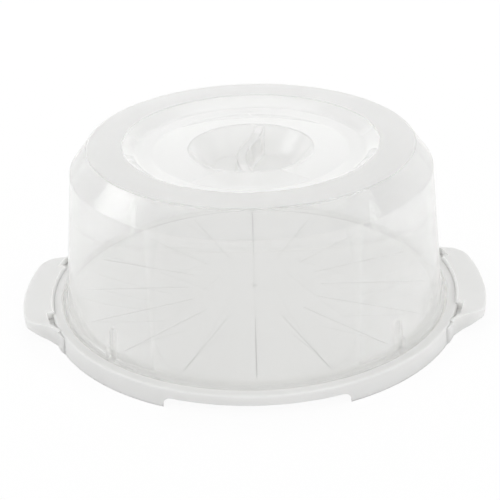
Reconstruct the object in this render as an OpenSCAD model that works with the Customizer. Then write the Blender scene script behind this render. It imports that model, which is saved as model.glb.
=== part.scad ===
// Round cake carrier: a shallow tray with two carrying ears, and a clear domed lid
// whose grip is a pair of finger wells with an S-shaped ridge between them.
// The origin is the middle of the tray's bottom; the ears lie along X, and +Z is up.

/* [Tray] */
// Radius of the rim's outer edge
rim_r = 167.8; // [160:0.1:176]
// Height of the rim and of the cake plate
tray_h = 16; // [13:0.5:22]
// How far the skirt widens from the rim down to its bottom edge
skirt_flare = 0.8; // [0:0.1:2]
// Wall thickness of the tray
tray_wall = 2.2; // [1.6:0.1:3]
// Width of the flat rim
rim_w = 8.5; // [7:0.1:12]
// Width of the channel that takes the lid's foot
channel_w = 12.7; // [11:0.1:16]
// Depth of the channel
channel_depth = 5; // [4:0.5:8]
// How far the channel's sides lean out of the upright
channel_draft = 0.8; // [0.4:0.1:1.2]
// Rounding of the tray's edges
tray_edge_r = 1.5; // [0.5:0.1:2]

/* [Portion marks] */
// Number of portion lines moulded into the plate
mark_count = 16; // [8:2:24]
// Radius at which the portion lines start
mark_inner_r = 55.2; // [30:0.1:80]
// Distance from the outer ends of the portion lines to the plate's edge
mark_margin = 5.1; // [3:0.1:20]
// Width of a portion line
mark_w = 1; // [0.6:0.1:1.6]
// Depth of a portion line
mark_depth = 0.4; // [0.2:0.1:0.8]
// Radius of the mark at the plate's centre
centre_mark_r = 2.6; // [1:0.1:5]

/* [Skirt notches] */
// Width of the lifting notch in the skirt, front and back
notch_w = 138; // [80:1:150]
// Height of the notch
notch_h = 8.1; // [5:0.1:10]
// Rounding of the notch's upper corners
notch_corner_r = 6; // [2:0.5:7.5]

/* [Ears] */
// How far an ear reaches out from the rim
ear_out = 23.2; // [18:0.1:32]
// Width of an ear
ear_w = 117; // [100:0.2:130]
// Rounding of an ear's outer corners, seen from above
ear_corner_r = 20; // [12:0.5:24]
// Radius of the hollow curve that carries an ear's corner into its root
ear_blend_r = 24; // [12:0.5:36]
// How far the root of an ear stands out from the skirt
ear_step = 1.2; // [0.8:0.1:1.4]
// Length of an ear's root along the skirt
ear_root_len = 155; // [145:0.2:170]
// Length over which each end of the root runs out into the skirt
ear_root_taper = 5; // [3:0.5:14]
// Height of an ear's top beside the rim
ear_top = 18.3; // [17:0.1:20]
// How far an ear's top drops towards its outer edge
ear_fall = 2.3; // [1:0.1:3]
// Distance from an ear's middle to where its flanks start to fall towards the rim
ear_flank_y = 51.5; // [46:0.1:56]
// Slope of the falling flanks, in degrees
ear_flank_fall = 10; // [6:0.5:10.5]
// Height of an ear's lower edge at its outer end
ear_tip_z = 8.5; // [6:0.5:11]
// Distance from an ear's outer edge to where its lower edge is level
ear_level_w = 13; // [8:0.5:18]
// Width over which an ear's lower edge rises
ear_sweep_w = 20; // [12:0.5:26]
// Rounding at the start of an ear's rising lower edge
ear_sweep_bend_r = 14; // [4:1:30]
// Rounding at the end of an ear's rising lower edge
ear_level_bend_r = 12; // [4:1:24]
// Wall thickness of an ear
ear_wall = 2.2; // [1.6:0.1:3]
// Rounding of an ear's top edge
ear_edge_r = 1.2; // [0.6:0.1:3]
// Width of the solid lip beside the rim
lip_w = 5.2; // [3:0.1:7]
// Length of the lip
lip_len = 79.2; // [50:0.2:90]
// How far the lip's inner face leans in towards its foot on the rim
lip_lean = 2; // [1.7:0.1:3]
// Height of the floor of the slots at the lip's ends
lip_z = 11.6; // [8:0.1:13]
// Distance between the outer ends of the two slots
slot_span = 134.4; // [126:0.2:140]

/* [Lid] */
// Height of the foot above the rim
foot_rise = 0.4; // [0:0.1:2]
// Gap between the foot and the rim around it
foot_play = 1.6; // [0.4:0.1:2]
// Gap between the foot and the channel's floor
seat_gap = 0.3; // [0.2:0.1:0.5]
// How far the foot stands out from the wall above it
foot_step = 2.7; // [2.2:0.1:5]
// How far the wall leans in from the foot up to the shoulder
wall_lean = 11.2; // [5:0.1:16]
// Height of the shoulder above the rim
shoulder_rise = 112.6; // [90:0.1:130]
// Width of the sloping shoulder, seen from above
shoulder_w = 14.3; // [8:0.1:22]
// Height of the flat top above the shoulder
top_rise = 18.5; // [12:0.1:26]
// Wall thickness of the lid
lid_wall = 2; // [1.5:0.1:2.6]

/* [Lid lugs] */
// Number of guide lugs around the foot
lug_count = 4; // [2:1:8]
// Width of a lug
lug_w = 5.4; // [3:0.1:8]
// Height of a lug above the rim
lug_rise = 11; // [6:0.5:16]
// Width of the rib above a lug
rib_w = 4.2; // [2:0.1:6]
// Height of a rib's top above the rim
rib_rise = 21; // [17:0.5:30]
// How far a rib stands out from the wall
rib_out = 1.2; // [0.8:0.1:2]

/* [Recess and grip] */
// Width of the flat ring between the shoulder and the recess
ring_w = 28.5; // [20:0.1:36]
// Width of the slope down into the recess
recess_slope_w = 10; // [6:0.1:14]
// Distance from the recess's edge to where its floor is deepest
recess_deep_w = 23; // [18:0.1:30]
// Depth of the recess
recess_depth = 8.6; // [5:0.1:12]
// Radius of the cup's rim
cup_r = 49.5; // [44:0.1:56]
// How far the recess rises again to the cup's rim
cup_rim_rise = 2.2; // [1:0.1:4]
// Depth of the finger wells below the cup's rim
cup_depth = 19; // [14:0.1:24]
// Radius of the finger wells' floor
cup_floor_r = 33; // [28:0.1:37]
// Rounding at the edge of the wells' floor
well_fillet_r = 5; // [2.5:0.5:8]
// Width of the ridge at its top
ridge_w = 8; // [6:0.1:10]
// How far the ridge's top lies below the cup's rim
ridge_drop = 1.4; // [0.8:0.1:3]
// Draft of the ridge's sides, in degrees
ridge_draft = 8; // [4:0.5:10]
// Bend radius of the two arcs that make the ridge's S
ridge_bend_r = 84; // [70:1:140]
// Angle at which the ridge crosses from one arc to the other
ridge_angle = 24; // [10:1:30]
// Place along Y where the two arcs meet
ridge_turn_y = 16; // [5:1:25]
// Place along X where the two arcs meet
ridge_turn_x = 0; // [-4:0.5:4]
// Rounding of the ridge's top edges
ridge_edge_r = 1.6; // [0.8:0.1:1.8]

/* [Hidden] */
$fn = 144;
arc_steps = 6;
skirt_r = rim_r + skirt_flare;
channel_z = tray_h - channel_depth;
channel_r = rim_r - rim_w;
channel_foot_r = channel_r - channel_draft / 2;
plate_r = channel_r - channel_w;
plate_foot_r = plate_r + channel_draft;
mark_outer_r = plate_r - mark_margin;
foot_r = channel_r - foot_play;
wall_r = foot_r - foot_step;
shoulder_r = wall_r - wall_lean;
top_r = shoulder_r - shoulder_w;
recess_r = top_r - ring_w;
foot_z = channel_z + seat_gap;
foot_top_z = tray_h + foot_rise;
foot_slope_h = 1.4;
lug_z = tray_h + lug_rise;
rib_z = tray_h + rib_rise;
shoulder_z = tray_h + shoulder_rise;
top_z = shoulder_z + top_rise;
recess_z = top_z - recess_depth;
cup_z = recess_z + cup_rim_rise;
well_z = cup_z - cup_depth;
seam_gap = 1.5;
seam_r = cup_r + seam_gap;
ridge_z = cup_z - ridge_drop;
ear_reach = rim_r + ear_out;
ear_level_r = ear_reach - ear_level_w;
ear_sweep_r = ear_level_r - ear_sweep_w;
ear_half = ear_w / 2;
ear_inner_edge_r = 0.4;
corner_y = ear_half - ear_corner_r;
corner_dist = ear_reach - ear_corner_r;
corner_turn = asin(corner_y / corner_dist);
corner_x = corner_dist * cos(corner_turn);
ear_root_r = skirt_r + ear_step;
ear_root_inner_r = rim_r - 2 / 3 * tray_edge_r;
ear_inner_r = rim_r - lip_lean - 1;
ear_root_turn = asin(ear_root_len / 2 / ear_root_r);
ear_taper_turn = asin((ear_root_len / 2 - ear_root_taper) / ear_root_r);
lip_turn = asin(lip_len / 2 / rim_r);
slot_turn = asin(slot_span / 2 / rim_r);
blend_sink = 0.5;
blend_dist = ear_root_r - blend_sink + ear_blend_r;
blend_gap = ear_corner_r + ear_blend_r;
blend_turn = corner_turn + acos(
    (pow(blend_dist, 2) + pow(corner_dist, 2) - pow(blend_gap, 2)) / (2 * blend_dist * corner_dist)
);
blend_x = blend_dist * cos(blend_turn);
blend_y = blend_dist * sin(blend_turn);
ear_tilt = atan2(ear_fall, ear_reach - rim_r);
far = 2 * ear_reach;

function unit(v) = v / norm(v);
function side_normal(a, b) = unit([a[1] - b[1], b[0] - a[0]]);

// An arc of radius r that rounds the corner b of the path a, b, c.
function round_corner(a, b, c, r) =
    let (u = unit(a - b), v = unit(c - b), half = acos(u * v) / 2)
    let (middle = b + unit(u + v) * r / sin(half))
    let (from = b + u * r / tan(half) - middle, to = b + v * r / tan(half) - middle)
    let (start = atan2(from[1], from[0]), turn = atan2(to[1], to[0]) - start)
    let (sweep = turn > 180 ? turn - 360 : (turn < -180 ? turn + 360 : turn))
    [for (i = [0:arc_steps]) let (a = start + sweep * i / arc_steps) middle + r * [cos(a), sin(a)]];

// A path through points [x, z, r], each rounded by its own radius r.
function rounded_path(p) =
    let (last = len(p) - 1)
    [for (i = [0:last])
        let (b = [p[i][0], p[i][1]])
        each (i == 0 || i == last || p[i][2] == 0)
            ? [b]
            : round_corner([p[i - 1][0], p[i - 1][1]], b, [p[i + 1][0], p[i + 1][1]], p[i][2])];

// The same path moved sideways by t, as the other face of a wall: its inner corners
// get sharper and its outer ones rounder, and the smallest roundings are left out.
function offset_path(p, t) =
    let (last = len(p) - 1)
    let (q = [for (a = p) [a[0], a[1]]])
    [for (i = [0:last])
        let (before = side_normal(q[max(i - 1, 0)], q[max(i, 1)]))
        let (after = side_normal(q[min(i, last - 1)], q[min(i + 1, last)]))
        let (place = q[i] + t * (before + after) / (1 + before * after))
        let (towards = cross(before, after) > 0)
        let (r = p[i][2] < 1 ? 0 : (towards ? max(p[i][2] - t, 0) : p[i][2] + t))
        [place[0], place[1], r]];

function reversed(p) = [for (i = [len(p) - 1:-1:0]) p[i]];

// Radius of the lid's wall at a height.
function wall_at(z) = wall_r - (wall_r - shoulder_r) * (z - tray_h) / (shoulder_z - tray_h);

// ---- tray ----

tray_top = rounded_path([
    [0, tray_h, 0],
    [plate_r, tray_h, tray_edge_r],
    [plate_foot_r, channel_z, tray_edge_r],
    [channel_foot_r, channel_z, tray_edge_r],
    [channel_r, tray_h, tray_edge_r],
    [rim_r, tray_h, tray_edge_r],
    [skirt_r, 0, 0]
]);

module tray_body() {
    underside = [
        [skirt_r - tray_wall, 0],
        [rim_r - tray_wall, tray_h - tray_wall],
        [channel_r + tray_wall, tray_h - tray_wall],
        [channel_foot_r + tray_wall, channel_z - tray_wall],
        [plate_foot_r - tray_wall, channel_z - tray_wall],
        [plate_r - tray_wall, tray_h - tray_wall],
        [0, tray_h - tray_wall]
    ];
    rotate_extrude() polygon(concat(tray_top, underside));
}

module portion_marks() {
    for (i = [0:mark_count - 1])
        rotate([0, 0, 90 + i * 360 / mark_count])
            translate([mark_inner_r, -mark_w / 2, tray_h - mark_depth])
                cube([mark_outer_r - mark_inner_r, mark_w, 1]);
    translate([0, 0, tray_h - mark_depth]) cylinder(r = centre_mark_r, h = 1);
}

// The rounded lintels cut through the skirt's wall, front and back.
module skirt_notches() {
    inner_w = notch_w - 2 * notch_corner_r;
    difference() {
        translate([0, far, 0]) rotate([90, 0, 0]) linear_extrude(2 * far) {
            translate([-notch_w / 2, -1]) square([notch_w, 1 + notch_h - notch_corner_r]);
            translate([-inner_w / 2, -1]) square([inner_w, 1 + notch_h]);
            for (side = [-1, 1])
                translate([side * inner_w / 2, notch_h - notch_corner_r]) circle(r = notch_corner_r);
        }
        translate([0, 0, -2]) cylinder(r = rim_r - 2 * tray_wall, h = 2 * tray_h);
    }
}

module tray() {
    color("whitesmoke") difference() {
        tray_body();
        portion_marks();
        skirt_notches();
    }
}

// ---- ears ----

// Half of an edge profile: a block with its upper outer edge rounded.
module edge_profile(reach, h, e) {
    polygon(concat(
        [[0, -h], [reach, -h]],
        [for (i = [0:arc_steps]) let (a = 90 * i / arc_steps) [reach - e + e * cos(a), -e + e * sin(a)]],
        [[0, 0]]
    ));
}

// The outer form of an ear, its top at z = 0, shrunk on every side by inset.
module ear_form(inset) {
    h = 3 * ear_top;
    e = max(ear_edge_r - inset, ear_inner_edge_r);
    intersection() {
        rotate_extrude() edge_profile(ear_reach - inset, h, e);
        translate([0, 0, -h]) linear_extrude(2 * h) polygon([
            [0, 0],
            [far * cos(corner_turn), -far * sin(corner_turn)],
            [far * cos(corner_turn), far * sin(corner_turn)]
        ]);
    }
    for (side = [-1, 1])
        translate([corner_x, side * corner_y, 0])
            rotate_extrude() edge_profile(ear_corner_r - inset, h, e);
    for (side = [0, 1])
        mirror([0, side, 0]) ear_blend(inset, h, e);
}

// The hollow curve that touches an ear's corner and its root.
module ear_blend(inset, h, e) {
    difference() {
        translate([0, 0, -h]) linear_extrude(h) polygon([
            [ear_sweep_r / 2, 0],
            [corner_x, corner_y],
            [blend_x, blend_y],
            [blend_x / 2, blend_y / 2]
        ]);
        translate([blend_x, blend_y, 0]) rotate_extrude() polygon(concat(
            [[0, -h - 1], [ear_blend_r + inset, -h - 1]],
            [for (i = [0:arc_steps])
                let (a = 90 * i / arc_steps)
                [ear_blend_r + inset + e - e * cos(a), -e + e * sin(a)]],
            [[ear_blend_r + inset + e, 1], [0, 1]]
        ));
    }
}

// The same form in its place: its top drops outwards and falls along both flanks.
module placed_ear_form(inset) {
    fall = tan(ear_flank_fall);
    difference() {
        translate([rim_r, 0, ear_top - inset])
            rotate([0, ear_tilt, 0])
                translate([-rim_r, 0, 0]) ear_form(inset);
        for (side = [0, 1])
            mirror([0, side, 0]) translate([0, 0, -inset]) rotate([90, 0, 90]) linear_extrude(far) polygon([
                [0, ear_top + ear_flank_y * fall],
                [far, ear_top - (far - ear_flank_y) * fall],
                [far, far],
                [0, far]
            ]);
    }
}

// Everything above the ear's lower edge, which rises from the skirt to the tip.
module above_lower_edge() {
    rotate([90, 0, 0]) translate([0, 0, -ear_half * 2]) linear_extrude(ear_half * 4) polygon(rounded_path([
        [ear_sweep_r / 2, 0, 0],
        [ear_sweep_r, 0, ear_sweep_bend_r],
        [ear_level_r, ear_tip_z, ear_level_bend_r],
        [far, ear_tip_z, 0],
        [far, far, 0],
        [ear_sweep_r / 2, far, 0]
    ]));
}

// The tray's outer form, and the free space above its rim.
module tray_envelope() {
    rotate_extrude() polygon(rounded_path([
        [0, -1, 0],
        [skirt_r + skirt_flare / tray_h, -1, 0],
        [rim_r, tray_h, tray_edge_r],
        [rim_r - lip_lean, tray_h, 0],
        [rim_r, ear_top, 0],
        [rim_r, far, 0],
        [0, far, 0]
    ]));
}

// The band along the skirt from which an ear grows; its ends run out into the skirt.
module ear_root() {
    intersection() {
        ring_sector(ear_root_inner_r, ear_root_r, -ear_root_turn, ear_root_turn, 0, tray_h);
        translate([0, 0, -1]) linear_extrude(2 * tray_h) polygon([
            [0, 0],
            rim_r * [cos(ear_root_turn), -sin(ear_root_turn)],
            ear_root_r * [cos(ear_taper_turn), -sin(ear_taper_turn)],
            [far, -ear_root_r * sin(ear_taper_turn)],
            [far, ear_root_r * sin(ear_taper_turn)],
            ear_root_r * [cos(ear_taper_turn), sin(ear_taper_turn)],
            rim_r * [cos(ear_root_turn), sin(ear_root_turn)]
        ]);
    }
}

// The lip beside the rim, the floor of the slots at its ends and their outer wall.
module lip_block() {
    intersection() {
        placed_ear_form(0);
        ring_sector(ear_inner_r, rim_r + lip_w + ear_wall, -blend_turn, blend_turn, lip_z - ear_wall, ear_top);
    }
}

module ring_sector(inner, outer, from, to, z, h) {
    rotate([0, 0, from])
        rotate_extrude(angle = to - from) translate([inner, z]) square([outer - inner, h]);
}

// The slot at one end of the lip; the flank's wall closes it.
module lip_slot() {
    intersection() {
        ring_sector(ear_inner_r, rim_r + lip_w, lip_turn, slot_turn, lip_z, ear_top);
        translate([0, 0, 2 * ear_wall]) placed_ear_form(ear_wall);
    }
}

module ear() {
    difference() {
        intersection() {
            union() {
                difference() {
                    placed_ear_form(0);
                    placed_ear_form(ear_wall);
                }
                difference() {
                    ear_root();
                    placed_ear_form(ear_wall);
                }
                lip_block();
            }
            above_lower_edge();
        }
        tray_envelope();
        for (side = [0, 1]) mirror([0, side, 0]) {
            lip_slot();
            ring_sector(ear_inner_r, far, slot_turn, 45, tray_h - tray_edge_r, ear_top);
        }
    }
}

module ear_right() {
    color("whitesmoke") ear();
}

module ear_left() {
    color("whitesmoke") mirror([1, 0, 0]) ear();
}

// ---- lid ----

// The lid's outer face from its foot to the middle of the finger wells.
lid_outline = [
    [foot_r, foot_z, 0],
    [foot_r, foot_top_z - foot_slope_h / 2, 0.8],
    [wall_at(foot_top_z), foot_top_z + foot_slope_h / 2, 1.2],
    [shoulder_r, shoulder_z, 2],
    [top_r, top_z, 2.5],
    [recess_r, top_z, 1.6],
    [recess_r - recess_slope_w, recess_z + recess_depth / 7, 8],
    [recess_r - recess_deep_w, recess_z, 12],
    [cup_r, cup_z, 1.2],
    [cup_floor_r, well_z, well_fillet_r],
    [0, well_z, 0]
];

module lid_shell() {
    inner = rounded_path(offset_path(lid_outline, lid_wall));
    rotate_extrude() polygon(concat(rounded_path(lid_outline), reversed(inner)));
}

// A guide lug at the foot, with a rib above it on the wall.
module lid_lug() {
    translate([wall_r - lid_wall, -lug_w / 2, foot_z])
        cube([foot_r - wall_r + lid_wall, lug_w, lug_z - foot_z]);
    slope = atan2(wall_r - shoulder_r, shoulder_z - tray_h);
    translate([wall_at(lug_z), 0, lug_z])
        rotate([0, -slope, 0])
            translate([-lid_wall / 2, -rib_w / 2, -1])
                cube([lid_wall / 2 + rib_out, rib_w, rib_z - lug_z + 1]);
}

module lid_dome() {
    color("aliceblue", 0.5) {
        difference() {
            lid_shell();
            cylinder(r = seam_r, h = 2 * top_z);
        }
        for (i = [0:lug_count - 1])
            rotate([0, 0, 45 + i * 360 / lug_count]) lid_lug();
    }
}

// The cup filled up to its rim, as far as the middle of its wall.
module cup_form() {
    bowl = offset_path([[cup_r, cup_z, 0], [cup_floor_r, well_z, well_fillet_r], [0, well_z, 0]], lid_wall / 2);
    rotate_extrude() polygon(concat([[0, bowl[0][1]]], rounded_path(bowl)));
}

// A drafted wall section, half on each side of x = r, thinner by inset on each face.
module ridge_section(r, inset) {
    half = ridge_w / 2 - inset;
    depth = ridge_z - well_z + 3 * lid_wall;
    spread = depth * tan(ridge_draft);
    top = ridge_z - inset;
    edge = inset > 0 ? ridge_edge_r / 2 : ridge_edge_r;
    polygon(rounded_path([
        [r, top, 0],
        [r + half, top, edge],
        [r + half + spread, top - depth, 0],
        [r - half - spread, top - depth, 0],
        [r - half, top, edge]
    ]));
}

// Two arcs bent opposite ways, tangent where they meet.
module ridge(inset) {
    sweep = 50;
    translate([ridge_turn_x, ridge_turn_y, 0]) rotate([0, 0, -ridge_angle]) {
        translate([ridge_bend_r, 0, 0]) rotate([0, 0, 180])
            rotate_extrude(angle = sweep) ridge_section(ridge_bend_r, inset);
        translate([-ridge_bend_r, 0, 0])
            rotate_extrude(angle = sweep) ridge_section(ridge_bend_r, inset);
    }
}

module lid_grip() {
    color("aliceblue", 0.6) difference() {
        union() {
            intersection() {
                lid_shell();
                cylinder(r = seam_r, h = 2 * top_z);
            }
            intersection() {
                ridge(0);
                cup_form();
            }
        }
        ridge(lid_wall);
    }
}

tray();
ear_right();
ear_left();
lid_dome();
lid_grip();
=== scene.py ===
from math import acos, asin, atan2, cos, pi, radians, sin, tan

import bpy
from mathutils import Matrix, Vector


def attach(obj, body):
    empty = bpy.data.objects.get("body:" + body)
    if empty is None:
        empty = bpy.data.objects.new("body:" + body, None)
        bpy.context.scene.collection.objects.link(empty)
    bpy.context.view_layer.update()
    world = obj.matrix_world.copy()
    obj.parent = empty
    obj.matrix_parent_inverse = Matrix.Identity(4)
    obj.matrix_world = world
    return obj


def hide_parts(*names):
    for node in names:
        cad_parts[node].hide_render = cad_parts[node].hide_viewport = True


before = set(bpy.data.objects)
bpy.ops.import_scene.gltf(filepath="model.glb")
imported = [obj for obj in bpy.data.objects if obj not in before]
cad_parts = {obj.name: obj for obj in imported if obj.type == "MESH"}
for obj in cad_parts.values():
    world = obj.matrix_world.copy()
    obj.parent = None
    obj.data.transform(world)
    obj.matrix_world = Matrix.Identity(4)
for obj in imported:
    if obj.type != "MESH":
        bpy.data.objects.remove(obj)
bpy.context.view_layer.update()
mm = 0.001
touching = 0.001 * mm


# ---- modelling helpers ----

def deselectAll():
    active = bpy.context.view_layer.objects.active
    if active and active.mode != "OBJECT":
        bpy.ops.object.mode_set(mode="OBJECT")
    bpy.ops.object.select_all(action="DESELECT")


def makeActive(piece):
    deselectAll()
    piece.select_set(True)
    bpy.context.view_layer.objects.active = piece


def editAll(piece):
    makeActive(piece)
    bpy.ops.object.mode_set(mode="EDIT")
    bpy.ops.mesh.select_mode(type="VERT")
    bpy.ops.mesh.select_all(action="SELECT")


def leaveEdit():
    bpy.ops.object.mode_set(mode="OBJECT")


def selectPart(piece, kind, test):
    # in edit mode: selects the vertices, or the edges by their two ends, that pass the test
    bpy.ops.object.mode_set(mode="EDIT")
    bpy.ops.mesh.select_mode(type=kind)
    bpy.ops.mesh.select_all(action="DESELECT")
    bpy.ops.object.mode_set(mode="OBJECT")
    vertices = piece.data.vertices
    if kind == "VERT":
        for vertex in vertices:
            vertex.select = test(vertex.co)
    else:
        for edge in piece.data.edges:
            a, b = (vertices[i].co for i in edge.vertices)
            edge.select = test(a, b)
    bpy.ops.object.mode_set(mode="EDIT")


def drawLine(name, points, closed=False):
    # a plane merged to one vertex, then extruded from point to point
    deselectAll()
    bpy.ops.mesh.primitive_plane_add(size=mm, location=(0, 0, 0))
    piece = bpy.context.object
    piece.name = piece.data.name = name
    editAll(piece)
    bpy.ops.mesh.merge(type="CENTER")
    bpy.ops.transform.translate(value=points[0])
    for a, b in zip(points, points[1:]):
        bpy.ops.mesh.extrude_region_move(TRANSFORM_OT_translate={"value": b - a})
    if closed:
        ends = (points[0], points[-1])
        selectPart(piece, "VERT", lambda co: min((co - end).length for end in ends) < touching)
        bpy.ops.mesh.edge_face_add()
    bpy.ops.mesh.select_all(action="SELECT")
    return piece


def tidySolid(piece):
    editAll(piece)
    bpy.ops.mesh.remove_doubles(threshold=touching)
    bpy.ops.mesh.normals_make_consistent(inside=False)
    leaveEdit()


def closeSpin(piece, capped):
    # welds the seams of a spun outline, and caps its ends where it isn't a whole turn
    bpy.ops.mesh.select_all(action="SELECT")
    bpy.ops.mesh.remove_doubles(threshold=touching)
    if capped:
        bpy.ops.mesh.fill_holes(sides=0)
    leaveEdit()
    tidySolid(piece)
    return piece


def spinSolid(name, profile, steps, turn=2 * pi, start=0.0):
    # profile holds (radius, height) pairs; one that starts on the axis stays open there
    onAxis = profile[0][0] < touching
    points = [Vector((r * cos(start), r * sin(start), z)) for r, z in profile]
    piece = drawLine(name, points, closed=not onAxis)
    bpy.ops.mesh.spin(steps=steps, angle=-turn, center=(0, 0, 0), axis=(0, 0, 1))
    return closeSpin(piece, capped=turn < 2 * pi)


def extrudeSolid(name, points, move):
    # a flat outline, filled and carried along move
    piece = drawLine(name, points, closed=True)
    bpy.ops.mesh.edge_face_add()
    bpy.ops.mesh.extrude_region_move(TRANSFORM_OT_translate={"value": move})
    leaveEdit()
    tidySolid(piece)
    return piece


def plateSolid(name, outline, low, high):
    # an outline in X and Y, carried upwards
    points = [Vector((x, y, low)) for x, y in outline]
    return extrudeSolid(name, points, (0, 0, high - low))


def sideSolid(name, outline, halfWidth):
    # an outline in X and Z, carried along Y
    points = [Vector((x, -halfWidth, z)) for x, z in outline]
    return extrudeSolid(name, points, (0, 2 * halfWidth, 0))


def boxSolid(name, low, high):
    deselectAll()
    middle = [(a + b) / 2 for a, b in zip(low, high)]
    bpy.ops.mesh.primitive_cube_add(size=1, location=middle)
    piece = bpy.context.object
    piece.name = piece.data.name = name
    piece.scale = [b - a for a, b in zip(low, high)]
    bpy.ops.object.transform_apply()
    return piece


def turnPiece(piece, angle, axis, centre=(0, 0, 0)):
    # turns the mesh itself, so that the object stays at the origin
    makeActive(piece)
    there, back = Matrix.Translation(centre), Matrix.Translation(-Vector(centre))
    piece.matrix_world = there @ Matrix.Rotation(angle, 4, axis) @ back
    bpy.ops.object.transform_apply()


def copyPiece(piece, name):
    makeActive(piece)
    bpy.ops.object.duplicate(linked=False)
    copy = bpy.context.object
    copy.name = copy.data.name = name
    return copy


def mirrorPiece(piece, axis):
    makeActive(piece)
    piece.scale["XYZ".index(axis)] = -1
    bpy.ops.object.transform_apply()
    tidySolid(piece)


def joinPieces(pieces):
    deselectAll()
    for piece in pieces:
        piece.select_set(True)
    bpy.context.view_layer.objects.active = pieces[0]
    bpy.ops.object.join()
    return pieces[0]


def combine(piece, tool, operation):
    makeActive(piece)
    bpy.ops.object.modifier_add(type="BOOLEAN")
    modifier = piece.modifiers[-1]
    modifier.object = tool
    modifier.operation = operation
    modifier.solver = "EXACT"
    bpy.ops.object.modifier_apply(modifier=modifier.name)
    bpy.data.objects.remove(tool)
    return piece


def smoothPiece(piece, angle=32):
    makeActive(piece)
    bpy.ops.object.shade_smooth_by_angle(angle=radians(angle))


# ---- rounded paths ----

def roundedPath(keys, arcSteps=6, guard=0.5 * mm):
    # keys are (x, z, radius); long straight stretches get a guard point at each end,
    # so that their shading stays even
    path = []
    last = len(keys) - 1
    for i, (x, z, r) in enumerate(keys):
        b = Vector((x, z))
        if i in (0, last) or r == 0:
            path.append(b)
            continue
        u = (Vector(keys[i - 1][:2]) - b).normalized()
        v = (Vector(keys[i + 1][:2]) - b).normalized()
        half = acos(max(-1, min(1, u.dot(v)))) / 2
        middle = b + (u + v).normalized() * r / sin(half)
        a0 = b + u * r / tan(half) - middle
        a1 = b + v * r / tan(half) - middle
        start = atan2(a0.y, a0.x)
        sweep = (atan2(a1.y, a1.x) - start + pi) % (2 * pi) - pi
        for step in range(arcSteps + 1):
            a = start + sweep * step / arcSteps
            path.append(middle + r * Vector((cos(a), sin(a))))
    guarded = [path[0]]
    for a, b in zip(path, path[1:]):
        length = (b - a).length
        if length > 4 * guard:
            guarded += [a.lerp(b, guard / length), b.lerp(a, guard / length)]
        guarded.append(b)
    return [tuple(p) for p in guarded]


def cutterPath(keys, arcSteps=6):
    # the same without guard points, for cutters and inner forms
    return roundedPath(keys, arcSteps, guard=1)


def offsetPath(keys, t):
    # the same path moved sideways by t, with its roundings fitted to the other face
    last = len(keys) - 1
    points = [Vector(key[:2]) for key in keys]

    def sideNormal(a, b):
        along = (b - a).normalized()
        return Vector((-along.y, along.x))

    moved = []
    for i, point in enumerate(points):
        before = sideNormal(points[max(i - 1, 0)], points[max(i, 1)])
        after = sideNormal(points[min(i, last - 1)], points[min(i + 1, last)])
        place = point + t * (before + after) / (1 + before.dot(after))
        towards = before.x * after.y - before.y * after.x > 0
        r = keys[i][2]
        r = 0 if r < mm else (max(r - t, 0) if towards else r + t)
        moved.append((place.x, place.y, r))
    return moved


# ---- node helpers ----

def feed(tree, node, values):
    # each value is a socket to link from, or a constant
    for key, value in values.items():
        if isinstance(value, bpy.types.NodeSocket):
            tree.links.new(value, node.inputs[key])
        else:
            node.inputs[key].default_value = value


def addNode(tree, kind, values=None, **settings):
    node = tree.nodes.new(kind)
    for key, value in settings.items():
        setattr(node, key, value)
    feed(tree, node, values or {})
    return node


def mathNode(tree, operation, *values):
    node = addNode(tree, "ShaderNodeMath", dict(enumerate(values)), operation=operation)
    return node.outputs[0]


def chain(tree, operation, first, *others):
    # the same operation over any number of values
    for value in others:
        first = mathNode(tree, operation, first, value)
    return first


def mixNode(tree, kind, factor, a, b, **settings):
    values = {"Factor": factor, "A": a, "B": b}
    return addNode(tree, "ShaderNodeMix", values, data_type=kind, **settings).outputs["Result"]


def spread(tree, value, low, high):
    # 0 to 1 becomes low to high
    values = {"Value": value, "To Min": low, "To Max": high}
    return addNode(tree, "ShaderNodeMapRange", values).outputs["Result"]


def blendRange(tree, value, low, high):
    # 0 below low, 1 above high, smooth between them; high under low turns it round
    values = {"Value": value, "From Min": low, "From Max": high}
    node = addNode(tree, "ShaderNodeMapRange", values, interpolation_type="SMOOTHSTEP")
    return node.outputs["Result"]


def maskWhere(tree, *limits):
    # 1 where each value is past its step, a (low, high) pair for blendRange
    return chain(tree, "MULTIPLY", *(blendRange(tree, value, *step) for value, step in limits))


def ownPlace(tree):
    # distance from the upright axis, and x, y, z, in the piece's own coordinates
    place = addNode(tree, "ShaderNodeTexCoord")
    x, y, z = addNode(tree, "ShaderNodeSeparateXYZ", {0: place.outputs["Object"]}).outputs
    square = mathNode(
        tree, "ADD", mathNode(tree, "MULTIPLY", x, x), mathNode(tree, "MULTIPLY", y, y)
    )
    return mathNode(tree, "SQRT", square), x, y, z


def mouldedSkinGroup():
    # a faint cloud of tone and roughness, and the fine grain of a moulded face
    group = bpy.data.node_groups.new("mouldedSkin", "ShaderNodeTree")
    start, end = group.nodes.new("NodeGroupInput"), group.nodes.new("NodeGroupOutput")
    place = addNode(group, "ShaderNodeTexCoord")
    for name, size, detail in (("Cloud", 30.0, 3.0), ("Grain", 1500.0, 2.0)):
        sizeSocket = group.interface.new_socket(
            name + " Size", in_out="INPUT", socket_type="NodeSocketFloat"
        )
        sizeSocket.default_value = size
        group.interface.new_socket(name, in_out="OUTPUT", socket_type="NodeSocketFloat")
        noise = addNode(group, "ShaderNodeTexNoise", {
            "Vector": place.outputs["Object"], "Scale": start.outputs[name + " Size"],
            "Detail": detail, "Roughness": 0.55,
        })
        feed(group, end, {name: noise.outputs["Fac"]})
    return group


mouldedSkin = mouldedSkinGroup()


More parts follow.
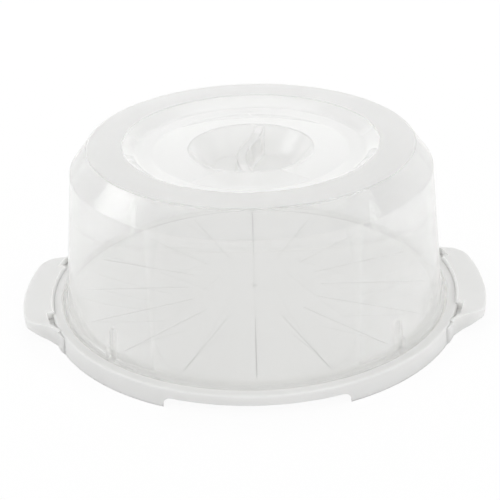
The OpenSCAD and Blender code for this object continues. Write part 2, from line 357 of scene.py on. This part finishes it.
def skinOf(tree, finish):
    sizes = {"Cloud Size": finish["cloudSize"], "Grain Size": finish["grainSize"]}
    skin = addNode(tree, "ShaderNodeGroup", sizes, node_tree=mouldedSkin)
    return skin.outputs["Cloud"], skin.outputs["Grain"]


def grainNormal(tree, height, finish):
    values = {
        "Height": height, "Strength": finish["grainStrength"], "Distance": finish["grainHeight"],
    }
    return addNode(tree, "ShaderNodeBump", values).outputs["Normal"]


def newMaterial(name, kind="ShaderNodeBsdfPrincipled"):
    material = bpy.data.materials.new(name)
    material.use_nodes = True
    tree = material.node_tree
    tree.nodes.clear()
    return material, tree, tree.nodes.new(kind)


def toSurface(tree, shader):
    addNode(tree, "ShaderNodeOutputMaterial", {"Surface": shader.outputs[0]})


def setFinish(piece, material):
    piece.data.materials.clear()
    piece.data.materials.append(material)


print("helpers ready")

# ---- tray plastic ----

trayFinish = {
    "lightTone": (0.775, 0.775, 0.765, 1),
    "darkTone": (0.750, 0.750, 0.740, 1),
    # painted shade in the bottoms of the portion lines
    "lineShadeTone": (0.50, 0.50, 0.49, 1),
    # painted light on the lip's inner face, the start of the slots and the channel's outer wall
    "paintedLightTone": (0.97, 0.97, 0.96, 1),
    "milky": 0.6, "milkyDepth": 6 * mm, "lightBend": 1.49,
    "roughness": (0.40, 0.50),
    "cloudSize": 14, "cloudStep": (0.3, 0.7),
    "grainSize": 1400, "grainStrength": 0.25, "grainHeight": 0.06 * mm,
    # steps between which a zone starts or ends: radius, height, or Y as a share of the radius
    "lineTop": (15.9 * mm, 15.7 * mm), "lineLow": (14.6 * mm, 14.8 * mm),
    "lineOuter": (145 * mm, 144 * mm),
    "lipInner": (165.6 * mm, 165.8 * mm), "lipOuter": (168.2 * mm, 168 * mm),
    "lipLow": (16.05 * mm, 16.2 * mm),
    "slotInner": (167.7 * mm, 167.9 * mm), "slotOuter": (173.5 * mm, 173.3 * mm),
    "slotStart": (0.2345, 0.2360), "slotEnd": (0.3250, 0.3050),
    "slotLow": (11.2 * mm, 11.5 * mm),
    "channelInner": (157.6 * mm, 157.9 * mm), "channelOuter": (159.8 * mm, 159.4 * mm),
    "channelTop": (15.8 * mm, 15.2 * mm),
}


def makeTrayPlastic():
    material, tree, shader = newMaterial("trayPlastic")
    finish = trayFinish
    cloud, grain = skinOf(tree, finish)
    radius, x, y, z = ownPlace(tree)
    across = mathNode(tree, "DIVIDE", mathNode(tree, "ABSOLUTE", y), radius)
    cloudy = blendRange(tree, cloud, *finish["cloudStep"])
    tone = mixNode(tree, "RGBA", cloudy, finish["darkTone"], finish["lightTone"])
    # painted shade: the bottoms of the portion lines are darker
    line = maskWhere(
        tree, (z, finish["lineTop"]), (radius, finish["lineOuter"]), (z, finish["lineLow"])
    )
    tone = mixNode(tree, "RGBA", line, tone, finish["lineShadeTone"])
    # painted light: the lip's inner face, the start of the slots and the channel's outer wall are
    # painted paler, lifting the shade that falls on them
    lip = maskWhere(
        tree, (radius, finish["lipInner"]), (radius, finish["lipOuter"]), (z, finish["lipLow"])
    )
    slot = maskWhere(
        tree, (radius, finish["slotInner"]), (radius, finish["slotOuter"]),
        (across, finish["slotStart"]), (across, finish["slotEnd"]), (z, finish["slotLow"]),
    )
    channelPaintedLight = maskWhere(
        tree, (radius, finish["channelInner"]), (radius, finish["channelOuter"]),
        (z, finish["channelTop"]),
    )
    paintedLight = chain(tree, "MAXIMUM", lip, slot, channelPaintedLight)
    feed(tree, shader, {
        "Base Color": mixNode(tree, "RGBA", paintedLight, tone, finish["paintedLightTone"]),
        "Roughness": spread(tree, cloud, *finish["roughness"]),
        "Normal": grainNormal(tree, grain, finish),
        "IOR": finish["lightBend"],
        # light sinks a little way into the milky plastic
        "Subsurface Weight": finish["milky"],
        "Subsurface Radius": (1, 1, 1),
        "Subsurface Scale": finish["milkyDepth"],
    })
    toSurface(tree, shader)
    return material


trayPlastic = makeTrayPlastic()

# ---- tray ----

tray = {
    "rim": 167.8 * mm, "height": 16 * mm, "flare": 0.8 * mm, "wall": 2.2 * mm,
    "rimWidth": 8.5 * mm, "channelWidth": 12.7 * mm, "channelDepth": 5 * mm,
    "draft": 0.8 * mm, "edge": 1.5 * mm, "steps": 240,
}
marks = {
    "count": 16, "inner": 55.2 * mm, "margin": 5.1 * mm, "width": 1.0 * mm,
    "depth": 0.4 * mm, "centre": 2.6 * mm, "centreSteps": 48,
}
notch = {
    "width": 138 * mm, "height": 8.1 * mm, "corner": 6 * mm, "cornerSteps": 8,
    "beyond": 20 * mm, "coreLow": -5 * mm, "coreHigh": 30 * mm,
}

skirtRadius = tray["rim"] + tray["flare"]
channelRadius = tray["rim"] - tray["rimWidth"]
channelFoot = channelRadius - tray["draft"] / 2
plateRadius = channelRadius - tray["channelWidth"]
plateFoot = plateRadius + tray["draft"]
channelFloor = tray["height"] - tray["channelDepth"]


def portionMarks():
    # sixteen lines and a round mark in the middle, sunk into the plate
    top, half = tray["height"], marks["width"] / 2
    low, high = top - marks["depth"], top + mm
    cutters = []
    for i in range(marks["count"]):
        line = boxSolid(
            "portionLine", (marks["inner"], -half, low),
            (plateRadius - marks["margin"], half, high),
        )
        turnPiece(line, pi / 2 + i * 2 * pi / marks["count"], "Z")
        cutters.append(line)
    deselectAll()
    bpy.ops.mesh.primitive_cylinder_add(
        vertices=marks["centreSteps"], radius=marks["centre"], depth=mm,
        location=(0, 0, low + mm / 2),
    )
    bpy.ops.object.transform_apply()
    cutters.append(bpy.context.object)
    return joinPieces(cutters)


def liftingNotches():
    # an arch through the skirt's wall alone, at the front and the back
    half, high, corner = notch["width"] / 2, notch["height"], notch["corner"]
    arch = cutterPath([
        (-half, -mm, 0), (-half, high, corner), (half, high, corner), (half, -mm, 0),
    ], notch["cornerSteps"])
    opening = sideSolid("notchCutter", arch, tray["rim"] + notch["beyond"])
    core = tray["rim"] - 2 * tray["wall"]
    low, high = notch["coreLow"], notch["coreHigh"]
    kept = spinSolid("skirtCore", [(0, low), (core, low), (core, high), (0, high)], tray["steps"])
    return combine(opening, kept, "DIFFERENCE")


def makeTray():
    top, wall, edge = tray["height"], tray["wall"], tray["edge"]
    upper = roundedPath([
        (0, top, 0),
        (plateRadius, top, edge),
        (plateFoot, channelFloor, edge),
        (channelFoot, channelFloor, edge),
        (channelRadius, top, edge),
        (tray["rim"], top, edge),
        (skirtRadius, 0, 0),
    ])
    lower = [
        (skirtRadius - wall, 0),
        (tray["rim"] - wall, top - wall),
        (channelRadius + wall, top - wall),
        (channelFoot + wall, channelFloor - wall),
        (plateFoot - wall, channelFloor - wall),
        (plateRadius - wall, top - wall),
        (0, top - wall),
    ]
    piece = spinSolid("cakeTray", upper + lower, tray["steps"])
    combine(piece, portionMarks(), "DIFFERENCE")
    combine(piece, liftingNotches(), "DIFFERENCE")
    tidySolid(piece)
    smoothPiece(piece)
    setFinish(piece, trayPlastic)
    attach(piece, "base")
    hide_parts("tray")


makeTray()
print("tray done")

# ---- ears ----

ear = {
    "out": 23.2 * mm, "width": 117 * mm, "corner": 20 * mm, "blend": 24 * mm,
    "step": 1.2 * mm, "rootLength": 155 * mm, "rootTaper": 5 * mm,
    "top": 18.3 * mm, "fall": 2.3 * mm, "flankStart": 51.5 * mm, "flankFall": radians(10),
    "sweepBend": 14 * mm, "levelBend": 12 * mm,
    "tip": 8.5 * mm, "levelWidth": 13 * mm, "sweepWidth": 20 * mm, "wall": 2.2 * mm,
    "edge": 1.2 * mm, "edgeSteps": 6,
    "lipWidth": 5.2 * mm, "lipLength": 79.2 * mm, "lipLow": 11.6 * mm, "lipLean": 2 * mm,
    "slotSpan": 134.4 * mm, "shelfTurn": radians(45),
    # how finely the outline's three curves and the ring sectors are drawn
    "blendSteps": 19, "cornerSteps": 20, "tipSteps": 12, "sectorStep": radians(1.5),
    # how far the blend and the ends of the root sink into what they meet
    "blendSink": 0.5 * mm, "taperSink": 0.2 * mm, "inside": mm, "weld": 0.01 * mm,
}
# how far the cutters and forms run past the ear
past = {
    "slotTop": 40 * mm, "blockTop": 30 * mm, "planLow": -20 * mm, "planTop": 30 * mm,
    "bodyEnd": 60 * mm, "belowInner": 80 * mm, "belowEnd": -80 * mm,
    "out": 260 * mm, "aside": 120 * mm,
}

earReach = tray["rim"] + ear["out"]
earHalf = ear["width"] / 2
cornerY = earHalf - ear["corner"]
cornerDistance = earReach - ear["corner"]
cornerTurn = asin(cornerY / cornerDistance)
cornerX = cornerDistance * cos(cornerTurn)
rootRadius = skirtRadius + ear["step"]
blendDistance = rootRadius - ear["blendSink"] + ear["blend"]
blendGap = ear["corner"] + ear["blend"]
blendTurn = cornerTurn + acos(
    (blendDistance ** 2 + cornerDistance ** 2 - blendGap ** 2)
    / (2 * blendDistance * cornerDistance)
)
blendX, blendY = blendDistance * cos(blendTurn), blendDistance * sin(blendTurn)


def arcPoints(x, y, r, start, end, steps, first=0):
    turns = [start + (end - start) * i / steps for i in range(first, steps + 1)]
    return [(x + r * cos(a), y + r * sin(a)) for a in turns]


def earOutline(inset):
    # half of the outline from the root to the outer edge, then the same mirrored
    start, end = atan2(-blendY, -blendX), atan2(cornerY - blendY, cornerX - blendX)
    half = arcPoints(blendX, blendY, ear["blend"] + inset, start, end, ear["blendSteps"])
    half += arcPoints(
        cornerX, cornerY, ear["corner"] - inset, end + pi, cornerTurn, ear["cornerSteps"], 1
    )
    half += arcPoints(0, 0, earReach - inset, cornerTurn, 0, ear["tipSteps"], 1)
    # it is closed a tenth of the way in towards the tray's middle
    half = [tuple(0.9 * Vector(half[0]))] + half
    return half + [(x, -y) for x, y in reversed(half[:-1])]


def earForm(name, inset):
    # the ear's outer form, shrunk on every side by inset
    depth = 3 * ear["top"]
    top = ear["top"] - inset
    piece = plateSolid(name, earOutline(inset), top - depth, top)
    if inset == 0:
        selectPart(piece, "EDGE", lambda a, b: min(a.z, b.z) > top - touching)
        bpy.ops.mesh.bevel(
            offset=ear["edge"], segments=ear["edgeSteps"], profile=0.5, affect="EDGES"
        )
        leaveEdit()
    turnPiece(piece, atan2(ear["fall"], ear["out"]), "Y", (tray["rim"], 0, top))
    # the top falls along both flanks
    fall = tan(ear["flankFall"])
    far = past["out"]
    for side in (-1, 1):
        wedge = sideSolid("wedge", [
            (0, top + ear["flankStart"] * fall), (far, top - (far - ear["flankStart"]) * fall),
            (far, far), (0, far),
        ], far)
        turnPiece(wedge, side * pi / 2, "Z")
        combine(piece, wedge, "DIFFERENCE")
    return piece


def ringSector(name, inner, outer, low, high, start, end):
    profile = [(inner, low), (outer, low), (outer, high), (inner, high)]
    steps = max(4, round((end - start) / ear["sectorStep"]))
    return spinSolid(name, profile, steps, end - start, start)


def earRoot(inner):
    # a band along the skirt whose ends run out into it
    rootTurn = asin(ear["rootLength"] / 2 / rootRadius)
    root = ringSector("root", inner, rootRadius, 0, tray["height"], -rootTurn, rootTurn)
    taperTurn = rootTurn - ear["rootTaper"] / rootRadius
    low, far = skirtRadius - ear["taperSink"], 1.5 * tray["rim"]
    plan = [
        (low * cos(rootTurn), low * sin(rootTurn)),
        (rootRadius * cos(taperTurn), rootRadius * sin(taperTurn)),
    ]
    side = plan[-1][1]
    plan = [(0, 0)] + plan + [(far, side), (far, -side)] + [(x, -y) for x, y in plan[::-1]]
    ends = plateSolid("rootPlan", plan, past["planLow"], past["planTop"])
    return combine(root, ends, "INTERSECT")


def keepMirrored(piece):
    # the half beyond the middle is kept, and mirrored to the other end
    tidySolid(piece)
    editAll(piece)
    bpy.ops.mesh.bisect(plane_co=(0, 0, 0), plane_no=(0, 1, 0), clear_inner=True)
    leaveEdit()
    bpy.ops.object.modifier_add(type="MIRROR")
    modifier = piece.modifiers[-1]
    modifier.use_axis = (False, True, False)
    modifier.merge_threshold = ear["weld"]
    bpy.ops.object.modifier_apply(modifier=modifier.name)
    tidySolid(piece)


def makeEar():
    rim, height, wall = tray["rim"], tray["height"], ear["wall"]
    lipTurn = asin(ear["lipLength"] / 2 / rim)
    slotTurn = asin(ear["slotSpan"] / 2 / rim)
    inner = rim - ear["lipLean"] - ear["inside"]
    lipReach = rim + ear["lipWidth"]
    # the lip and the slots' floor and outer wall are one block
    lip = ringSector(
        "lip", inner, lipReach + wall, ear["lipLow"] - wall, past["blockTop"],
        -blendTurn, blendTurn,
    )
    combine(lip, earForm("lipForm", 0), "INTERSECT")
    root = earRoot(inner)
    piece = combine(earForm("ear", 0), root, "UNION")
    combine(piece, earForm("hollow", wall), "DIFFERENCE")
    combine(piece, lip, "UNION")
    # the lower edge rises towards the tip
    level = earReach - ear["levelWidth"]
    sweep = level - ear["sweepWidth"]
    below = cutterPath([
        (past["belowInner"], past["belowEnd"], 0), (past["belowInner"], 0, 0),
        (sweep, 0, ear["sweepBend"]), (level, ear["tip"], ear["levelBend"]),
        (past["out"], ear["tip"], 0), (past["out"], past["belowEnd"], 0),
    ])
    combine(piece, sideSolid("below", below, past["aside"]), "DIFFERENCE")
    # the tray's own form is cut out, and the lip's inner face leans in to its foot on the rim
    end = past["bodyEnd"]
    body = cutterPath([
        (0, -end, 0), (skirtRadius, -end, 0), (skirtRadius, 0, 0),
        (rim, height, tray["edge"]), (rim - ear["lipLean"], height, 0),
        (rim, ear["top"], 0), (rim, end, 0), (0, end, 0),
    ])
    combine(piece, spinSolid("trayForm", body, tray["steps"]), "DIFFERENCE")
    # the slot at one end of the lip, closed by the flank's wall, and the low shelf beyond it
    slot = ringSector("slot", inner, lipReach, ear["lipLow"], past["slotTop"], lipTurn, slotTurn)
    slotForm = earForm("slotForm", wall)
    editAll(slotForm)
    bpy.ops.transform.translate(value=(0, 0, 2 * wall))
    leaveEdit()
    combine(piece, combine(slot, slotForm, "INTERSECT"), "DIFFERENCE")
    shelf = ringSector(
        "shelf", inner, 1.5 * rim, height - tray["edge"], past["slotTop"],
        slotTurn, ear["shelfTurn"],
    )
    combine(piece, shelf, "DIFFERENCE")
    keepMirrored(piece)
    setFinish(piece, trayPlastic)
    return piece


earRight = makeEar()
earRight.name = earRight.data.name = "earRight"
earLeft = copyPiece(earRight, "earLeft")
mirrorPiece(earLeft, "X")
for piece, node in ((earRight, "ear_right"), (earLeft, "ear_left")):
    smoothPiece(piece)
    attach(piece, "base")
    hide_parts(node)
print("ears done")

# ---- lid plastic ----

lidFinish = {
    # for each zone, the share of what lies behind it that its plastic veils, and its tint
    "wall": (0.5, (0.90, 0.90, 0.895, 1)),
    # painted shade: the bevel's tint is darker than the wall's
    "bevel": (0.5, (0.87, 0.87, 0.865, 1)),
    "ring": (0.7, (0.94, 0.94, 0.935, 1)),
    # painted reflection: the recess is tinted white and veils more, so that it shows bright
    "recess": (0.8, (1.0, 1.0, 0.995, 1)),
    "cup": (0.92, (0.94, 0.94, 0.935, 1)),
    # painted shade: the ridge's tint is darker
    "ridge": (0.95, (0.86, 0.86, 0.855, 1)),
    "lugVeil": 0.15, "grazingVeil": 0.9,
    "lampTint": (0.95, 0.95, 0.945, 1), "cloudTint": (0.985, 0.985, 0.985, 1),
    "clear": 0.65, "lightBend": 1.49, "mostTurns": 7.5,
    "clearRoughness": (0.035, 0.075), "satinRoughness": 0.4,
    "cloudSize": 20, "grainSize": 1800, "grainStrength": 0.3, "grainHeight": 0.02 * mm,
    # steps between which a zone starts or ends: radius, height, X, Y or the face's slant
    "ringInner": (101.6 * mm, 102 * mm), "ringOuter": (129.3 * mm, 129 * mm),
    "ringLow": (145.8 * mm, 146.2 * mm),
    "recessOuter": (102 * mm, 101.4 * mm), "recessLow": (134 * mm, 135 * mm),
    "cupOuter": (51 * mm, 49 * mm), "cupLow": (120 * mm, 121 * mm),
    "ridgeAcross": (15 * mm, 13 * mm), "ridgeAlong": (33 * mm, 31 * mm),
    "ridgeLow": (126 * mm, 127 * mm),
    "bevelLow": (127 * mm, 129 * mm),
    "lugAside": (6 * mm, 4.5 * mm), "lugTop": (42 * mm, 38 * mm),
    "slant": (0.55, 1.0),
}


def makeLidPlastic():
    material, tree, shader = newMaterial("lidPlastic")
    finish = lidFinish
    cloud, grain = skinOf(tree, finish)
    radius, x, y, z = ownPlace(tree)
    sideways, backwards = mathNode(tree, "ABSOLUTE", x), mathNode(tree, "ABSOLUTE", y)
    ring = maskWhere(
        tree, (radius, finish["ringInner"]), (radius, finish["ringOuter"]), (z, finish["ringLow"])
    )
    zones = {
        "bevel": maskWhere(tree, (z, finish["bevelLow"])),
        "ring": ring,
        "recess": maskWhere(tree, (radius, finish["recessOuter"]), (z, finish["recessLow"])),
        "cup": maskWhere(tree, (radius, finish["cupOuter"]), (z, finish["cupLow"])),
        "ridge": maskWhere(
            tree, (sideways, finish["ridgeAcross"]), (backwards, finish["ridgeAlong"]),
            (z, finish["ridgeLow"]),
        ),
    }
    # the bevel's and the ridge's darker tints are painted shade, and the recess's white tint and
    # dense veil are a painted reflection
    veil, tint = finish["wall"]
    for name, mask in zones.items():
        share, tone = finish[name]
        veil = mixNode(tree, "FLOAT", mask, veil, share)
        tint = mixNode(tree, "RGBA", mask, tint, tone)
    # the lugs and ribs, which stand where X and Y are alike, are thin and pale
    aside = mathNode(tree, "ABSOLUTE", mathNode(tree, "SUBTRACT", sideways, backwards))
    atLug = maskWhere(tree, (aside, finish["lugAside"]), (z, finish["lugTop"]))
    veil = mixNode(tree, "FLOAT", atLug, veil, finish["lugVeil"])
    # a wall seen along its face is dense
    slant = addNode(tree, "ShaderNodeLayerWeight", {"Blend": 0.5}).outputs["Facing"]
    grazing = maskWhere(tree, (slant, finish["slant"]))
    clearRough = spread(tree, cloud, *finish["clearRoughness"])
    feed(tree, shader, {
        "Base Color": mixNode(
            tree, "RGBA", cloud, tint, finish["cloudTint"], blend_type="MULTIPLY"
        ),
        "Roughness": mixNode(tree, "FLOAT", ring, clearRough, finish["satinRoughness"]),
        "Alpha": mixNode(tree, "FLOAT", grazing, veil, finish["grazingVeil"]),
        "Normal": grainNormal(tree, mathNode(tree, "MULTIPLY", grain, ring), finish),
        "IOR": finish["lightBend"],
        "Transmission Weight": finish["clear"],
    })
    # lamps and scattered light reach the tray straight through the lid, and a ray caught
    # in the wall leaves it after a few turns
    lamps = addNode(tree, "ShaderNodeBsdfTransparent", {"Color": finish["lampTint"]})
    path = addNode(tree, "ShaderNodeLightPath").outputs
    caught = mathNode(tree, "GREATER_THAN", path["Ray Depth"], finish["mostTurns"])
    through = chain(tree, "MAXIMUM", path["Is Shadow Ray"], path["Is Diffuse Ray"], caught)
    pick = addNode(
        tree, "ShaderNodeMixShader", {0: through, 1: shader.outputs[0], 2: lamps.outputs[0]}
    )
    toSurface(tree, pick)
    return material


lidPlastic = makeLidPlastic()

# ---- lid ----

lid = {
    "footPlay": 1.6 * mm, "seatGap": 0.3 * mm, "footRise": 0.4 * mm, "footStep": 2.7 * mm,
    "wallLean": 11.2 * mm, "shoulderRise": 112.6 * mm, "shoulderWidth": 14.3 * mm,
    "topRise": 18.5 * mm, "wall": 2.0 * mm,
    "ringWidth": 28.5 * mm, "recessSlope": 10 * mm, "recessDeep": 23 * mm,
    "recessDepth": 8.6 * mm, "steps": 240,
    "footBevel": 0.6 * mm, "footRun": 0.8 * mm,
    # the roundings of its outline, from the foot to the cup
    "footEdge": 0.8 * mm, "wallFoot": 1.2 * mm, "shoulderEdge": 2 * mm, "topEdge": 2.5 * mm,
    "recessEdge": 1.6 * mm, "slopeBend": 8 * mm, "floorBend": 12 * mm, "cupEdge": 1.2 * mm,
}
lug = {
    "count": 4, "width": 5.4 * mm, "rise": 11 * mm,
    "ribWidth": 4.2 * mm, "ribOut": 1.2 * mm, "ribRise": 21 * mm,
}
cup = {
    "radius": 49.5 * mm, "rimRise": 2.2 * mm, "depth": 19 * mm, "floorRadius": 33 * mm,
    "fillet": 5 * mm,
}
ridge = {
    "width": 8 * mm, "drop": 1.4 * mm, "draft": radians(8), "bend": 84 * mm,
    "angle": radians(24), "turnY": 16 * mm, "edge": 1.6 * mm, "sweep": radians(50),
    "steps": 40,
}

footRadius = channelRadius - lid["footPlay"]
footLow = channelFloor + lid["seatGap"]
footTop = tray["height"] + lid["footRise"]
wallRadius = footRadius - lid["footStep"]
shoulderRadius = wallRadius - lid["wallLean"]
shoulderHeight = tray["height"] + lid["shoulderRise"]
topRadius = shoulderRadius - lid["shoulderWidth"]
topHeight = shoulderHeight + lid["topRise"]
recessRadius = topRadius - lid["ringWidth"]
recessFloor = topHeight - lid["recessDepth"]
cupTop = recessFloor + cup["rimRise"]
wellFloor = cupTop - cup["depth"]
ridgeTop = cupTop - ridge["drop"]


def wallAt(z):
    # the wall's outer radius at a height
    share = (z - tray["height"]) / (shoulderHeight - tray["height"])
    return wallRadius - (wallRadius - shoulderRadius) * share


def lidOutline():
    # the recess's slope ends a seventh of its depth above the floor
    slopeFoot = recessFloor + lid["recessDepth"] / 7
    return [
        (footRadius, footLow, 0),
        (footRadius, footTop - lid["footBevel"], lid["footEdge"]),
        (wallAt(footTop), footTop + lid["footRun"], lid["wallFoot"]),
        (shoulderRadius, shoulderHeight, lid["shoulderEdge"]),
        (topRadius, topHeight, lid["topEdge"]),
        (recessRadius, topHeight, lid["recessEdge"]),
        (recessRadius - lid["recessSlope"], slopeFoot, lid["slopeBend"]),
        (recessRadius - lid["recessDeep"], recessFloor, lid["floorBend"]),
        (cup["radius"], cupTop, lid["cupEdge"]),
        (cup["floorRadius"], wellFloor, cup["fillet"]),
        (0, wellFloor, 0),
    ]


def ridgeSolid(name, inset):
    # a drafted section swept along two arcs that bend opposite ways from where they meet
    half = ridge["width"] / 2 - inset
    depth = ridgeTop - wellFloor + 3 * lid["wall"]
    foot = half + depth * tan(ridge["draft"])
    top = ridgeTop - inset
    edge = ridge["edge"] / 2 if inset > 0 else ridge["edge"]
    section = cutterPath([
        (0, top, 0), (half, top, edge), (foot, top - depth, 0),
        (-foot, top - depth, 0), (-half, top, edge), (0, top, 0),
    ])[:-1]
    meet = Vector((0, ridge["turnY"], 0))
    across = Vector((cos(ridge["angle"]), -sin(ridge["angle"]), 0))
    along = Vector((sin(ridge["angle"]), cos(ridge["angle"]), 0))
    points = [meet + across * u + Vector((0, 0, z)) for u, z in section]
    piece = drawLine(name, points, closed=True)
    for side in (1, -1):
        selectPart(piece, "VERT", lambda co: abs((co - meet).dot(along)) < touching)
        centre = meet + side * ridge["bend"] * across
        bpy.ops.mesh.spin(
            steps=ridge["steps"], angle=-ridge["sweep"], center=centre, axis=(0, 0, 1)
        )
    return closeSpin(piece, capped=True)


def cupForm():
    # the space inside the cup, down to the middle of its wall
    bowl = cutterPath(offsetPath([
        (cup["radius"], cupTop, 0), (cup["floorRadius"], wellFloor, cup["fillet"]),
        (0, wellFloor, 0),
    ], lid["wall"] / 2))
    return spinSolid("cupForm", [(0, bowl[0][1])] + bowl, lid["steps"])


def lugsAndRibs():
    # a lug on the foot and a rib above it, at each 45 degrees
    lugTop = tray["height"] + lug["rise"]
    ribTop = tray["height"] + lug["ribRise"]
    ribFoot = wallAt(lugTop)
    slope = atan2(wallRadius - shoulderRadius, shoulderHeight - tray["height"])
    lugs, ribs = [], []
    for i in range(lug["count"]):
        turn = pi / 4 + i * 2 * pi / lug["count"]
        block = boxSolid(
            "lug", (wallRadius - lid["wall"], -lug["width"] / 2, footLow),
            (footRadius, lug["width"] / 2, lugTop),
        )
        turnPiece(block, turn, "Z")
        lugs.append(block)
        strip = boxSolid(
            "rib", (ribFoot - lid["wall"] / 2, -lug["ribWidth"] / 2, lugTop - mm),
            (ribFoot + lug["ribOut"], lug["ribWidth"] / 2, ribTop),
        )
        turnPiece(strip, -slope, "Y", (ribFoot, 0, lugTop))
        turnPiece(strip, turn, "Z")
        ribs.append(strip)
    return joinPieces(lugs), joinPieces(ribs)


def makeLid():
    outer = roundedPath(lidOutline())
    inner = roundedPath(offsetPath(lidOutline(), lid["wall"]))
    piece = spinSolid("cakeLid", outer[::-1] + inner, lid["steps"])
    for added in lugsAndRibs():
        combine(piece, added, "UNION")
    combine(piece, combine(ridgeSolid("ridge", 0), cupForm(), "INTERSECT"), "UNION")
    combine(piece, ridgeSolid("ridgeHollow", lid["wall"]), "DIFFERENCE")
    tidySolid(piece)
    smoothPiece(piece)
    setFinish(piece, lidPlastic)
    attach(piece, "lid")
    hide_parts("lid_dome", "lid_grip")


makeLid()
print("lid done")

# ---- floor, light and camera ----

studio = {
    "floorSize": 12.0, "floorColour": (0.92, 0.92, 0.92, 1), "floorOwn": 0.94,
    "worldLevel": 0.545, "topShade": 0.66, "ceiling": (0.25, 0.7),
    "glowFrom": (-0.89, 0.12, 0.43), "glowStrength": 1.76, "glowStep": (0.93, 0.99),
}
camera = {
    "place": (0, -0.9551, 0.5328), "lens": 93.70, "sensor": 36,
    "pitch": 26.86, "yaw": 0.17, "roll": -1.59,
}
lamps = {
    # name: place, size, power
    "keyLamp": ((-1.6, -1.0, 1.2), 1.0, 16.3),
    "rightLamp": ((1.65, -0.95, 0.85), 1.0, 14.6),
    "backLamp": ((0, 1.85, 1.2), 1.4, 21),
}
lampAim = Vector((0, 0, 70 * mm))
bounces = {
    "max_bounces": 24, "glossy_bounces": 16, "transmission_bounces": 20,
    "transparent_max_bounces": 24,
}


def seenByEye(tree):
    # 1 for rays from the eye, straight or by way of gloss and clear plastic
    path = addNode(tree, "ShaderNodeLightPath").outputs
    eye = chain(
        tree, "MAXIMUM", path["Is Camera Ray"], path["Is Glossy Ray"], path["Is Transmission Ray"]
    )
    direct = mathNode(tree, "LESS_THAN", path["Diffuse Depth"], 0.5)
    return mathNode(tree, "MULTIPLY", eye, direct)


def makeFloor():
    deselectAll()
    bpy.ops.mesh.primitive_plane_add(size=studio["floorSize"], location=(0, 0, 0))
    floor = bpy.context.object
    floor.name = floor.data.name = "studioFloor"
    # most of the white is the floor's own; the rest takes the shadow
    material, tree, plain = newMaterial("studioWhite", "ShaderNodeBsdfDiffuse")
    feed(tree, plain, {"Color": studio["floorColour"]})
    white = addNode(tree, "ShaderNodeEmission", {"Strength": 1.0})
    share = mathNode(tree, "MULTIPLY", seenByEye(tree), studio["floorOwn"])
    pick = addNode(
        tree, "ShaderNodeMixShader", {0: share, 1: plain.outputs[0], 2: white.outputs[0]}
    )
    toSurface(tree, pick)
    setFinish(floor, material)


def makeWorld():
    world = bpy.data.worlds.new("studio")
    bpy.context.scene.world = world
    world.use_nodes = True
    tree = world.node_tree
    tree.nodes.clear()
    # in gloss, the room above is a little darker than the white round it
    towards = addNode(tree, "ShaderNodeTexCoord").outputs["Generated"]
    height = addNode(tree, "ShaderNodeSeparateXYZ", {0: towards}).outputs["Z"]
    ceiling = blendRange(tree, height, *studio["ceiling"])
    shade = mixNode(tree, "FLOAT", ceiling, 1.0, studio["topShade"])
    # and it holds one soft bright panel at the left
    aim = addNode(tree, "ShaderNodeVectorMath", {
        0: towards, 1: Vector(studio["glowFrom"]).normalized(),
    }, operation="DOT_PRODUCT")
    panel = blendRange(tree, aim.outputs["Value"], *studio["glowStep"])
    panel = mathNode(tree, "MULTIPLY", panel, studio["glowStrength"])
    seen = mathNode(tree, "ADD", shade, panel)
    level = mixNode(tree, "FLOAT", seenByEye(tree), studio["worldLevel"], seen)
    # straight from the camera the world is plain white
    straight = addNode(tree, "ShaderNodeLightPath").outputs["Is Camera Ray"]
    level = mixNode(tree, "FLOAT", straight, level, 1.0)
    background = addNode(
        tree, "ShaderNodeBackground", {"Color": (1, 1, 1, 1), "Strength": level}
    )
    addNode(tree, "ShaderNodeOutputWorld", {"Surface": background.outputs[0]})


def makeLamps():
    for name, (place, size, power) in lamps.items():
        deselectAll()
        bpy.ops.object.light_add(type="AREA", location=place)
        lamp = bpy.context.object
        lamp.name = lamp.data.name = name
        lamp.data.shape = "DISK"
        lamp.data.size = size
        lamp.data.energy = power
        lamp.visible_glossy = lamp.visible_transmission = False
        aim = lampAim - Vector(place)
        lamp.rotation_euler = aim.to_track_quat("-Z", "Y").to_euler()


def makeCamera():
    deselectAll()
    bpy.ops.object.camera_add(location=camera["place"])
    eye = bpy.context.object
    eye.name = "photoCamera"
    eye.data.lens = camera["lens"]
    eye.data.sensor_width = camera["sensor"]
    turn = (
        Matrix.Rotation(radians(camera["yaw"]), 4, "Z")
        @ Matrix.Rotation(radians(90 - camera["pitch"]), 4, "X")
        @ Matrix.Rotation(radians(camera["roll"]), 4, "Z")
    )
    eye.rotation_euler = turn.to_euler()
    bpy.context.scene.camera = eye


makeFloor()
makeWorld()
makeLamps()
makeCamera()
scene = bpy.context.scene
scene.view_settings.view_transform = "Standard"
for name, most in bounces.items():
    setattr(scene.cycles, name, most)
print("studio done")
